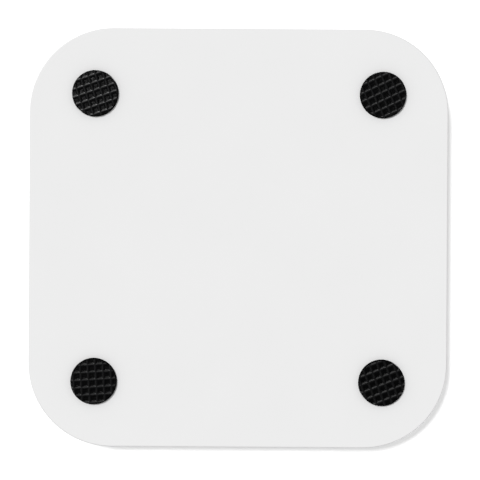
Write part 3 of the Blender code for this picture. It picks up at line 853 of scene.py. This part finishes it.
# each foot was stuck on by hand: its ribs' turn in degrees, and a rib crossing's place in mm
footTurns = {
    "rear_right": (19.5, -0.22, 0.54),
    "rear_left": (25.3, -0.34, 0.47),
    "front_right": (4.0, 0.61, 0.40),
    "front_left": (21.5, 0.53, -0.42),
}


def ribbedSheetTree():
    tree, inputs = pieceTree(
        "ribbedSheet",
        ("Pitch", "Rib Top", "Wall Run", "Pit Depth", "Unevenness", "Height", "Turn"),
        ("Cells", "Steps Per Cell", "Seed"),
        ("Shift", "Centre"),
    )
    maths = mathsIn(tree)

    # a thick sheet, finely divided across, that reaches past the top of the foot
    width = maths("MULTIPLY", inputs["Pitch"], inputs["Cells"])
    count = maths("ADD", maths("MULTIPLY", inputs["Cells"], inputs["Steps Per Cell"]), 1)
    thickness = maths("MULTIPLY", inputs["Height"], 1.1)
    sheet = addNode(
        tree, "GeometryNodeMeshCube", Size=vectorOf(tree, X=width, Y=width, Z=thickness)
    )
    feed(tree, sheet.inputs["Vertices X"], count)
    feed(tree, sheet.inputs["Vertices Y"], count)
    middle = vectorOf(tree, Z=maths("DIVIDE", thickness, 2))
    lifted = moved(tree, sheet.outputs["Mesh"], Translation=middle)

    # pits sink smoothly between the ribs, each a little uneven
    position = addNode(tree, "GeometryNodeInputPosition").outputs["Position"]
    along = addNode(tree, "ShaderNodeSeparateXYZ", Vector=position).outputs
    ribHalf = maths("DIVIDE", inputs["Rib Top"], 2)
    wallEnd = maths("ADD", ribHalf, inputs["Wall Run"])

    def sinkBeside(coordinate):
        cell = maths("ROUND", maths("DIVIDE", coordinate, inputs["Pitch"]))
        fromRib = maths("SUBTRACT", coordinate, maths("MULTIPLY", cell, inputs["Pitch"]))
        return mapped(tree, maths("ABSOLUTE", fromRib), (ribHalf, wallEnd))

    sink = maths("MINIMUM", sinkBeside(along["X"]), sinkBeside(along["Y"]))
    noise = addNode(
        tree,
        "ShaderNodeTexNoise",
        noise_dimensions="4D",
        Scale=footShape["unevenScale"],
        Vector=position,
        W=inputs["Seed"],
    )
    uneven = maths("SUBTRACT", 1, maths("MULTIPLY", noise.outputs["Fac"], inputs["Unevenness"]))
    depth = maths("MULTIPLY", maths("MULTIPLY", sink, uneven), inputs["Pit Depth"])
    ribbed = addNode(
        tree,
        "GeometryNodeSetPosition",
        Geometry=lifted,
        Selection=maths("LESS_THAN", along["Z"], 0.01 * mm),
        Offset=vectorOf(tree, Z=depth),
    )

    # the sheet is shifted and turned under the round punch
    shifted = moved(tree, ribbed.outputs["Geometry"], Translation=inputs["Shift"])
    turn = vectorOf(tree, Z=inputs["Turn"])
    turned = moved(tree, shifted, Rotation=turn, Translation=inputs["Centre"])
    punched = addNode(tree, "GeometryNodeMeshBoolean", operation="INTERSECT", solver="EXACT")
    for solid in (inputs["Geometry"], turned):
        tree.links.new(solid, punched.inputs["Mesh 2"])

    # the cut leaves a few edges far shorter than a grain of the mould, and many-sided faces
    welded = addNode(
        tree,
        "GeometryNodeMergeByDistance",
        Geometry=punched.outputs["Mesh"],
        Distance=footShape["weld"],
    )
    faceted = addNode(
        tree,
        "GeometryNodeTriangulate",
        quad_method="BEAUTY",
        ngon_method="BEAUTY",
        Mesh=welded.outputs["Geometry"],
    )
    return endTree(tree, faceted.outputs["Mesh"], inputs["Material"])


def rubberFoot(corner, tree, seed):
    shape = footShape
    sx, sy = cornerSides[corner]
    centre = (sx * footCentre.x, sy * footCentre.y)
    radius = (footHigh.x - footLow.x) / 2
    rim = fillet(-0.05 * mm, shape["edge"], 1, shape["edgeSteps"])
    sections = [(height, radius - inset) for height, inset in rim]
    sections.append((footHigh.z, radius))
    foot = roundStack(f"ribbedFoot_{corner}", sections, centre, 128)
    turn, shiftX, shiftY = footTurns[corner]
    inputs = {
        "Pitch": shape["pitch"],
        "Rib Top": shape["ribTop"],
        "Wall Run": shape["wallRun"],
        "Pit Depth": shape["pitDepth"],
        "Unevenness": shape["unevenness"],
        "Height": footHigh.z,
        "Turn": math.radians(-turn),
        "Cells": shape["cells"],
        "Steps Per Cell": shape["stepsPerCell"],
        "Seed": seed,
        "Shift": (-shiftX * mm, shiftY * mm, 0.0),
        "Centre": (*centre, 0.0),
        "Material": materials["footRubber"],
    }
    applyTree(foot, tree, inputs)
    foot.data.shade_smooth()
    foot.data.set_sharp_from_angle(angle=math.radians(shape["sharpAngle"]))
    return foot


def paintSide(foot, corner):
    # the moulded side is matt, and only the face that meets the desk glints
    sx, sy = cornerSides[corner]
    middle = Vector((sx * footCentre.x, sy * footCentre.y))
    rimStart = (footHigh.x - footLow.x) / 2 - footShape["sideBand"]
    foot.data.materials.append(materials["footSide"])
    for face in foot.data.polygons:
        atRim = (face.center.xy - middle).length > rimStart
        if atRim or face.center.z > footShape["sideFrom"]:
            face.material_index = 1


print("feet")
ribbedSheet = ribbedSheetTree()
ribbedFeet = []
for seed, corner in enumerate(cornerSides):
    foot = rubberFoot(corner, ribbedSheet, seed)
    finishPiece(foot, materials["footRubber"], [f"foot_{corner}"])
    paintSide(foot, corner)
    ribbedFeet.append(foot)


def inletShell():
    # drawn from thin sheet, with its mouth rounded inside and outside
    sheet, edge = inletShape["sheet"], inletShape["edge"]
    bend = inletShape["bend"]
    sections = [
        (shellLow.y, 0),
        (shellHigh.y - edge, 0),
        (shellHigh.y - bend, -bend),
        (shellHigh.y, -edge),
        (shellHigh.y, -sheet + edge),
        (shellHigh.y - bend, -sheet + bend),
        (shellHigh.y - edge, -sheet),
        (shellLow.y, -sheet),
    ]
    return smoothPiece(slotStack("inletShell", sections, 12, ring=True))


print("inlet")
finishPiece(inletShell(), materials["platedSteel"], ["usb_c_shell"])

contactShape = {
    "count": 12,
    "pitch": 0.5 * mm,
    "width": 0.26 * mm,
    "length": 3.4 * mm,
    "thickness": 0.04 * mm,
    "fromTip": 0.55 * mm,
    "plateThickness": 0.7 * mm,
}


def contactRowTree():
    # two rows of bars, one on each face of the tongue
    tree, inputs = pieceTree("contactRow", ("Pitch", "Gap"), ("Count",), ("Size", "Start"))
    bar = addNode(tree, "GeometryNodeMeshCube", Size=inputs["Size"])
    row = addNode(
        tree,
        "GeometryNodeMeshLine",
        mode="OFFSET",
        Count=inputs["Count"],
        Offset=vectorOf(tree, X=inputs["Pitch"]),
    )
    feed(tree, row.inputs["Start Location"], inputs["Start"])
    upperRow = row.outputs["Mesh"]
    lowerRow = moved(tree, upperRow, Translation=vectorOf(tree, Z=inputs["Gap"]))
    rows = addNode(tree, "GeometryNodeJoinGeometry")
    for part in (upperRow, lowerRow):
        tree.links.new(part, rows.inputs["Geometry"])
    copies = addNode(
        tree,
        "GeometryNodeInstanceOnPoints",
        Points=rows.outputs["Geometry"],
        Instance=bar.outputs["Mesh"],
    )
    return endTree(tree, copies.outputs["Instances"], inputs["Material"])


def inletContacts():
    shape = contactShape
    contacts = addObject("inletContacts", bpy.data.meshes.new("inletContacts"))
    rise = (shape["plateThickness"] + shape["thickness"]) / 2
    values = {
        "Count": shape["count"],
        "Pitch": shape["pitch"],
        "Size": (shape["width"], shape["length"], shape["thickness"]),
        "Start": (
            -shape["pitch"] * (shape["count"] - 1) / 2,
            tongueHigh.y - shape["fromTip"] - shape["length"] / 2,
            inletHeight + rise,
        ),
        "Gap": -2 * rise,
        "Material": materials["contactGold"],
    }
    return applyTree(contacts, contactRowTree(), values)


finishPiece(inletContacts(), materials["contactGold"])

coilShape = {
    "wire": 1.1 * mm,
    "innerRadius": 10.25 * mm,
    "turns": 9.5,
    "pointsPerTurn": 48,
    "startTurn": -30,
    "gap": 0.1 * mm,
    "slotStart": 5.5 * mm,
    "leadInX": 0.45 * mm,
    "leadOutX": -4.0 * mm,
    "leadRamp": 2.0 * mm,
    "leadLanding": 1.6 * mm,
    "strands": 8,
    "strandSides": 6,
    "twistLength": 9.0 * mm,
    "step": 1.0 * mm,
}


def sweptSpot(start, startWay, end, endWay, share):
    # a smooth way from one spot and direction to another
    turnIn = 3 * share**2 - 2 * share**3
    leave = share * (1 - share) ** 2
    arrive = share**2 * (share - 1)
    return start * (1 - turnIn) + end * turnIn + startWay * leave + endWay * arrive


def coilPath():
    # in along the ferrite's slot, clockwise round the winding and out to the board
    shape = coilShape
    tapeLow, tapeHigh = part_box("coil_tape")
    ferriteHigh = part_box("ferrite_plate")[1]
    wireRadius = shape["wire"] / 2
    middle = (tapeLow.z + ferriteHigh.z) / 2
    inSlot = ferriteHigh.z - wireRadius
    landing = boardHigh.z + shape["gap"] + wireRadius
    leadEnd = boardLow.y + shape["leadLanding"]
    first = shape["innerRadius"] + wireRadius
    pitch = (tapeHigh.x - shape["innerRadius"] - shape["wire"]) / shape["turns"]
    begin = math.radians(shape["startTurn"])
    down, up = Vector((0, -1)), Vector((0, 1))

    def onWinding(angle):
        radius = first + pitch * (begin - angle) / math.tau
        return radius * Vector((math.cos(angle), math.sin(angle)))

    def clockwise(angle):
        return Vector((math.sin(angle), -math.cos(angle)))

    def climb(low, high, share):
        return low + (high - low) * min(max(share, 0), 1)

    leadX = shape["leadInX"]
    rampStart = boardLow.y - shape["leadRamp"]
    riseStart = first - shape["wire"]
    riseEnd = shape["slotStart"] + shape["wire"]
    points = []
    for y in (leadEnd, boardLow.y, boardLow.y - shape["leadRamp"] / 2, rampStart, riseStart):
        points.append((leadX, y, climb(inSlot, landing, (y - rampStart) / shape["leadRamp"])))
    riseSteps = 5
    for i in range(1, riseSteps + 1):
        share = i / riseSteps
        points.append((leadX, climb(riseStart, riseEnd, share), climb(inSlot, middle, share)))
    start, end = Vector((leadX, riseEnd)), onWinding(begin)
    bendSteps = 10
    for i in range(1, bendSteps):
        share = i / bendSteps
        spot = sweptSpot(start, down * first, end, clockwise(begin) * first, share)
        points.append((*spot, middle))
    for i in range(round(shape["turns"] * shape["pointsPerTurn"]) + 1):
        spot = onWinding(begin - math.tau * i / shape["pointsPerTurn"])
        points.append((*spot, middle))
    last = begin - math.tau * shape["turns"]
    start, end = onWinding(last), Vector((shape["leadOutX"], leadEnd))
    reach = (end - start).length
    edge = ferriteHigh.x + wireRadius
    leadSteps = 12
    for i in range(1, leadSteps + 1):
        share = i / leadSteps
        spot = sweptSpot(start, clockwise(last) * reach, end, up * reach / 2, share)
        drop = (spot.length - edge) / (end.length - edge)
        points.append((*spot, climb(middle, landing, drop)))
    return points


def twistedWireTree():
    # strands that wind round the path as it goes
    tree, inputs = pieceTree(
        "twistedWire",
        ("Step", "Twist Length", "Lay Radius", "Strand Radius"),
        ("Strands", "Strand Sides"),
    )
    maths = mathsIn(tree)

    def along(direction, distance):
        node = addNode(tree, "ShaderNodeVectorMath", operation="SCALE", Vector=direction)
        feed(tree, node.inputs["Scale"], distance)
        return node.outputs["Vector"]

    def combined(operation, first, second):
        node = addNode(tree, "ShaderNodeVectorMath", operation=operation)
        feed(tree, node.inputs[0], first)
        feed(tree, node.inputs[1], second)
        return node.outputs["Vector"]

    path = addNode(tree, "GeometryNodeMeshToCurve", Mesh=inputs["Geometry"])
    even = addNode(
        tree,
        "GeometryNodeResampleCurve",
        mode="LENGTH",
        Curve=path.outputs["Curve"],
        Length=inputs["Step"],
    )
    copies = addNode(
        tree,
        "GeometryNodeDuplicateElements",
        domain="SPLINE",
        Geometry=even.outputs["Curve"],
        Amount=inputs["Strands"],
    )
    travelled = addNode(tree, "GeometryNodeSplineParameter").outputs["Length"]
    turned = maths("DIVIDE", travelled, inputs["Twist Length"])
    place = maths("DIVIDE", copies.outputs["Duplicate Index"], inputs["Strands"])
    angle = maths("MULTIPLY", maths("ADD", turned, place), math.tau)
    normal = addNode(tree, "GeometryNodeInputNormal").outputs["Normal"]
    tangent = addNode(tree, "GeometryNodeInputTangent").outputs["Tangent"]
    side = combined("CROSS_PRODUCT", normal, tangent)
    outward = along(normal, maths("MULTIPLY", maths("COSINE", angle), inputs["Lay Radius"]))
    sideways = along(side, maths("MULTIPLY", maths("SINE", angle), inputs["Lay Radius"]))
    laid = addNode(
        tree,
        "GeometryNodeSetPosition",
        Geometry=copies.outputs["Geometry"],
        Offset=combined("ADD", outward, sideways),
    )
    section = addNode(
        tree,
        "GeometryNodeCurvePrimitiveCircle",
        mode="RADIUS",
        Resolution=inputs["Strand Sides"],
        Radius=inputs["Strand Radius"],
    )
    strands = addNode(tree, "GeometryNodeCurveToMesh", Curve=laid.outputs["Geometry"])
    feed(tree, strands.inputs["Profile Curve"], section.outputs["Curve"])
    feed(tree, strands.inputs["Fill Caps"], True)
    return endTree(tree, strands.outputs["Mesh"], inputs["Material"])


def litzCoil():
    shape = coilShape
    points = coilPath()
    mesh = bpy.data.meshes.new("litzCoil")
    mesh.from_pydata(points, [(i, i + 1) for i in range(len(points) - 1)], [])
    # strands side by side round the middle fill the wire's diameter
    crowding = math.sin(math.pi / shape["strands"])
    layRadius = shape["wire"] / 2 / (1 + crowding)
    values = {
        "Strands": shape["strands"],
        "Strand Sides": shape["strandSides"],
        "Step": shape["step"],
        "Twist Length": shape["twistLength"],
        "Lay Radius": layRadius,
        "Strand Radius": layRadius * crowding,
        "Material": materials["litzCopper"],
    }
    coil = applyTree(addObject("litzCoil", mesh), twistedWireTree(), values)
    coil.data.shade_smooth()
    return coil


print("coil")
finishPiece(litzCoil(), materials["litzCopper"], ["charging_coil"])

print("foam")
foamShape = {"edge": 0.35 * mm, "steps": 6, "bulge": 0.12 * mm}


def foamPad():
    # squeezed between two plates: flat faces, soft edges and a side that bulges
    low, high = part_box("foam_pad")
    radius = high.x - foamShape["bulge"]
    edge = foamShape["edge"]
    sections = []
    for height, inset in fillet(low.z, edge, 1, foamShape["steps"]):
        sections.append((height, radius - inset))
    sections.append(((low.z + high.z) / 2, high.x))
    for height, inset in reversed(fillet(high.z, edge, -1, foamShape["steps"])):
        sections.append((height, radius - inset))
    return smoothPiece(roundStack("foamPad", sections))


foam = finishPiece(foamPad(), materials["foamGrey"], ["foam_pad"])

finishes = {
    "white_plastic": "casePlastic",
    "foot_rubber": "footRubber",
    "grip_silicone": "gripSilicone",
    "adhesive_tape": "adhesiveTape",
    "screw_steel": "rolledSteel",
    "plated_shell": "platedSteel",
    "black_plastic": "blackPlastic",
    "board_laminate": "boardMask",
    "capacitor_ceramic": "capacitorCeramic",
    "ferrite": "ferriteGrey",
    "litz_copper": "litzCopper",
    "foam": "foamGrey",
    "light_pipe_clear": "pipeAcrylic",
    "led_body": "ledBody",
}
for part in record["subparts"]:
    node = frame["nodes"][part["node"]]
    node.data.materials.clear()
    node.data.materials.append(materials[finishes[part["material_slot"]]])

# the backdrop lies above the pad and shows from below, the floor below it and shows from above
stageLook = {
    "backdropGlow": 0.255,
    "backdropTone": 0.85,
    "backdropGap": 0.2 * mm,
    "floorGlow": 0.86,
    "floorGap": 0.05 * mm,
    # the reach, depth and darkest tone of the shade painted into the floor's glow under and beside the
    # pad
    "paintedShadeReach": 0.030,
    "paintedShadeDepth": 1.4,
    "paintedShadeTone": 0.10,
    "size": 40.0,
}
cameraSetup = {
    "lens": 100,
    "sensor": 36,
    "frameWidth": 103.14 * mm,
    "aside": 0.345 * mm,
    "below": 0.410 * mm,
    "roll": 0.35,
}


def oneSidedMaterial(name, tone, glow):
    # shows only from the side that its face points to, with a tone in the light and a glow of its own
    material, tree = newMaterial(name)
    tree.nodes.clear()
    facing = addNode(tree, "ShaderNodeNewGeometry").outputs["Backfacing"]
    matt = addNode(tree, "ShaderNodeBsdfDiffuse", Color=(tone, tone, tone, 1))
    glowing = addNode(tree, "ShaderNodeEmission", Strength=glow)
    both = addNode(tree, "ShaderNodeAddShader")
    clear = addNode(tree, "ShaderNodeBsdfTransparent")
    mix = addNode(tree, "ShaderNodeMixShader", Fac=facing)
    feed(tree, both.inputs[0], matt.outputs["BSDF"])
    feed(tree, both.inputs[1], glowing.outputs["Emission"])
    feed(tree, mix.inputs[1], both.outputs["Shader"])
    feed(tree, mix.inputs[2], clear.outputs["BSDF"])
    addNode(tree, "ShaderNodeOutputMaterial", Surface=mix.outputs["Shader"])
    return material


def paintContactShade(material):
    # painted shade: the floor's glow is darkened by ambient occlusion, softly under and beside the pad
    tree = material.node_tree
    maths = mathsIn(tree)
    closeness = addNode(
        tree, "ShaderNodeAmbientOcclusion", samples=16, Distance=stageLook["paintedShadeReach"]
    )
    openness = maths("POWER", closeness.outputs["AO"], stageLook["paintedShadeDepth"])
    darkestShade = stageLook["paintedShadeTone"]
    lifted = maths("MULTIPLY_ADD", openness, 1 - darkestShade, darkestShade)
    feed(tree, tree.nodes["Emission"].inputs["Color"], lifted)


def stagePlane(name, height, faceUp, material):
    reach = stageLook["size"] / 2
    corners = [(-reach, -reach), (reach, -reach), (reach, reach), (-reach, reach)]
    if not faceUp:
        corners.reverse()
    mesh = bpy.data.meshes.new(name)
    mesh.from_pydata([(x, y, height) for x, y in corners], [], [(0, 1, 2, 3)])
    mesh.materials.append(material)
    plane = addObject(name, mesh)
    for ray in ("shadow", "diffuse", "glossy", "transmission"):
        setattr(plane, f"visible_{ray}", False)


def addLamp(data, energy, place, target):
    data.energy = energy
    lamp = addObject(data.name, data)
    lamp.location = place
    lamp.rotation_euler = (Vector(target) - Vector(place)).to_track_quat("-Z", "Y").to_euler()
    return lamp


def addSun(name, energy, fromWhere):
    data = bpy.data.lights.new(name, "SUN")
    data.angle = math.radians(lightSetup["sunAngle"])
    return addLamp(data, energy, fromWhere, (0, 0, 0))


def addSoftbox(name, energy, place, size):
    data = bpy.data.lights.new(name, "AREA")
    data.shape = "SQUARE"
    data.size = size
    return addLamp(data, energy, place, (0, 0, 5 * mm))


def addCamera():
    setup = cameraSetup
    data = bpy.data.cameras.new("camera")
    data.lens = setup["lens"]
    data.sensor_width = setup["sensor"]
    data.clip_start = 0.01
    data.clip_end = 10
    camera = addObject("camera", data)
    distance = setup["frameWidth"] * setup["lens"] / setup["sensor"]
    roll = math.radians(setup["roll"])
    right = Vector((-math.cos(roll), math.sin(roll), 0))
    up = Vector((math.sin(roll), math.cos(roll), 0))
    back = right.cross(up)
    place = Vector((-setup["aside"], -setup["below"], underside - distance))
    turn = Matrix((right, up, back)).transposed().to_4x4()
    camera.matrix_world = Matrix.Translation(place) @ turn
    bpy.context.scene.camera = camera


# suns give their strength and where they shine from, softboxes their power, place and size in metres
lightSetup = {
    "surround": 0.478,
    "surroundSeen": 0.86,
    "sunAngle": 8,
    "keyBelow": (2.0, (0.245, 0.245, -1.0)),
    "hazeBelow": (4.0, (0.29, 0.29, -1.0)),
    "sheenBelow": (55.0, (0.70, 0.70, -0.21)),
    "softboxAbove": (3.0, (-0.35, -0.35, 0.6), 0.4),
    "fillAbove": (1.0, (0.5, 0.3, 0.4), 0.5),
}


def addWorld():
    # an even pale surround, seen lighter than it shines
    world = bpy.data.worlds.new("studio")
    bpy.context.scene.world = world
    world.use_nodes = True
    tree = world.node_tree
    white = (1, 1, 1, 1)
    shining = tree.nodes["Background"]
    feed(tree, shining.inputs["Color"], white)
    feed(tree, shining.inputs["Strength"], lightSetup["surround"])
    seen = addNode(tree, "ShaderNodeBackground", Color=white, Strength=lightSetup["surroundSeen"])
    toCamera = addNode(tree, "ShaderNodeLightPath").outputs["Is Camera Ray"]
    mix = addNode(tree, "ShaderNodeMixShader", Fac=toCamera)
    feed(tree, mix.inputs[1], shining.outputs["Background"])
    feed(tree, mix.inputs[2], seen.outputs["Background"])
    feed(tree, tree.nodes["World Output"].inputs["Surface"], mix.outputs["Shader"])


print("stage, camera and light")
backdrop = oneSidedMaterial("backdrop", stageLook["backdropTone"], stageLook["backdropGlow"])
floorFinish = oneSidedMaterial("floor", 0, stageLook["floorGlow"])
paintContactShade(floorFinish)
stagePlane("backdrop", ringHigh.z + stageLook["backdropGap"], False, backdrop)
stagePlane("floor", -stageLook["floorGap"], True, floorFinish)
addCamera()
addWorld()

# the key is broad and matt; the haze and the sheen only bring out the gloss of the rubber feet
addSun("keyBelow", *lightSetup["keyBelow"]).visible_glossy = False
feetOnly = bpy.data.collections.new("feetOnly")
for foot in ribbedFeet:
    feetOnly.objects.link(foot)
for name in ("hazeBelow", "sheenBelow"):
    lamp = addSun(name, *lightSetup[name])
    lamp.visible_diffuse = False
    lamp.light_linking.receiver_collection = feetOnly
for name in ("softboxAbove", "fillAbove"):
    addSoftbox(name, *lightSetup[name])

bpy.context.scene.view_settings.view_transform = "Standard"
